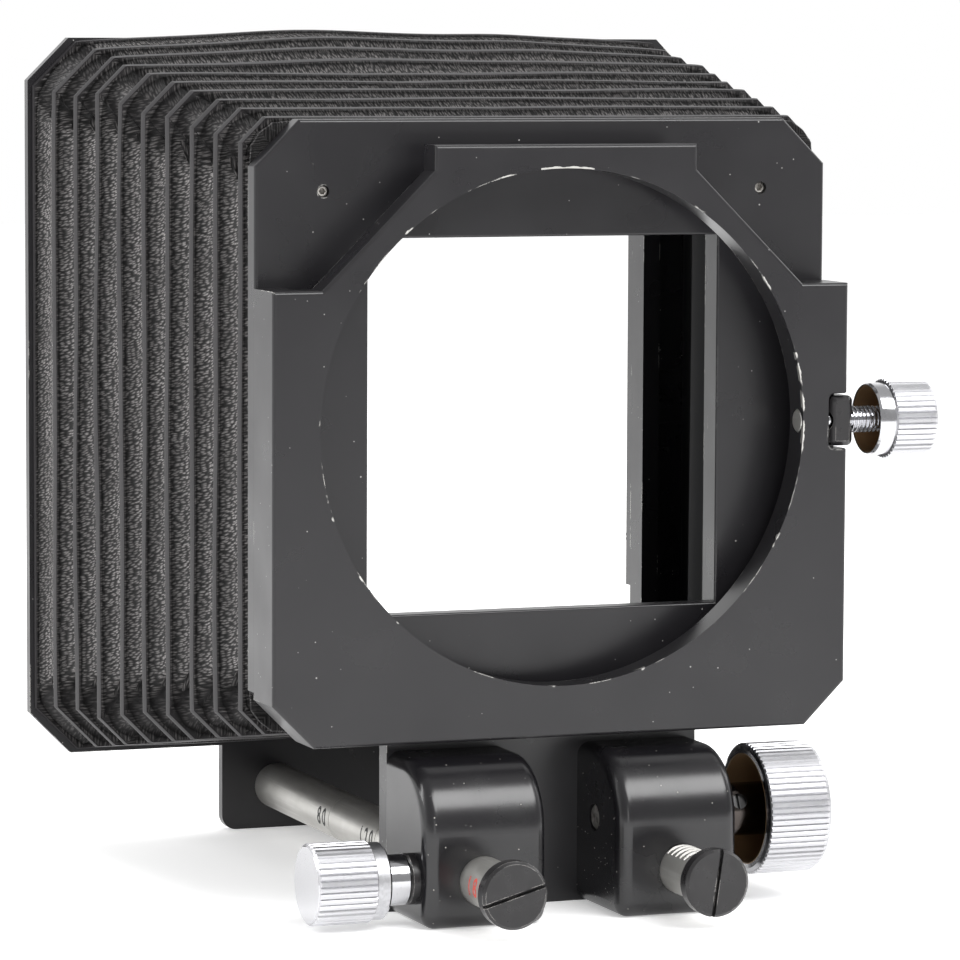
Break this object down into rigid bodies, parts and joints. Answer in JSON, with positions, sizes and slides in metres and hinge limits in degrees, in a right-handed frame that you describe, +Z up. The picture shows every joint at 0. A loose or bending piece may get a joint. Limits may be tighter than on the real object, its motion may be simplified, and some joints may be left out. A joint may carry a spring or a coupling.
{
  "type": "bellows lens shade",
  "caption": "Lens shade with a tapered pleated bellows between a bored filter-slot standard and a wide frame, racked along twin rods by a knurled knob",
  "frame": {"origin": "centre of the adapter bore on the front face of the ring plate", "axes": "+X right as seen from the lens, +Y from the lens towards the wide front frame, +Z up"},
  "size_m": [0.145, 0.1382, 0.1602],
  "materials": {
    "black_anodised": "satin black finish with worn bright edges",
    "black_gloss": "gloss black enamel",
    "black_screw": "blackened steel",
    "satin_steel": "finely turned steel",
    "chrome_knurl": "bright chrome, straight knurl",
    "chrome_plain": "bright chrome",
    "brass": "plain brass",
    "leatherette": "black grained leatherette, pleated"
  },
  "bodies": {
    "lens_standard": {"ring_plate": "black_anodised", "ring_plate_screws": "black_screw", "carrier_plate": "black_anodised", "carrier_screws": "black_screw", "rear_bellows_frame": "black_anodised", "left_rod_block": "black_gloss", "right_rod_block": "black_gloss", "block_screws": "black_screw", "lock_bush": "black_screw", "clamp_nut": "black_screw", "pinion_bush": "brass", "bellows": "leatherette"},
    "front_standard": {"front_frame": "black_anodised", "front_bellows_frame": "black_anodised", "front_frame_screws": "black_screw", "left_rod": "satin_steel", "right_rod": "satin_steel", "left_rod_cap": "black_screw", "right_rod_cap": "black_screw", "rod_end_screws": "black_screw"},
    "focus_drive": {"focus_knob": "chrome_knurl", "focus_set_screw": "black_screw", "pinion_shaft": "satin_steel", "pinion_gear": "brass"},
    "lock_slider": {"lock_pad": "brass"},
    "lock_turner": {"lock_screw": "chrome_plain", "lock_knob": "chrome_knurl"},
    "clamp_slider": {"clamp_pad": "satin_steel"},
    "clamp_turner": {"clamp_screw": "chrome_plain", "clamp_knob": "chrome_knurl"}
  },
  "joints": [
    {"name": "front_slide", "type": "slide", "parent": "lens_standard", "child": "front_standard", "axis": [0, 1, 0], "range_m": [-0.075, 0.0124], "deforming": ["bellows"]},
    {"name": "focus_turn", "type": "hinge", "parent": "lens_standard", "child": "focus_drive", "pos_m": [0.0438, 0.0026, -0.07265], "axis": [1, 0, 0], "range_deg": [-956, 159]},
    {"name": "lock_turn", "type": "hinge", "parent": "lock_slider", "child": "lock_turner", "pos_m": [-0.0451, -0.003, -0.0811], "axis": [1, 0, 0], "range_deg": [-541, 86]},
    {"name": "lock_advance", "type": "slide", "parent": "lens_standard", "child": "lock_slider", "axis": [1, 0, 0], "range_m": [-0.0015, 0.00023]},
    {"name": "clamp_turn", "type": "hinge", "parent": "clamp_slider", "child": "clamp_turner", "pos_m": [0.068, 0.003, 0], "axis": [-1, 0, 0], "range_deg": [-676, 902]},
    {"name": "clamp_advance", "type": "slide", "parent": "lens_standard", "child": "clamp_slider", "axis": [-1, 0, 0], "range_m": [-0.0015, 0.002]}
  ],
  "couplings": [
    {"joint": "focus_turn", "follows": "front_slide", "rad_per_m": 222.22},
    {"joint": "lock_turn", "follows": "lock_advance", "rad_per_m": 6283.2},
    {"joint": "clamp_turn", "follows": "clamp_advance", "rad_per_m": 7854}
  ]
}
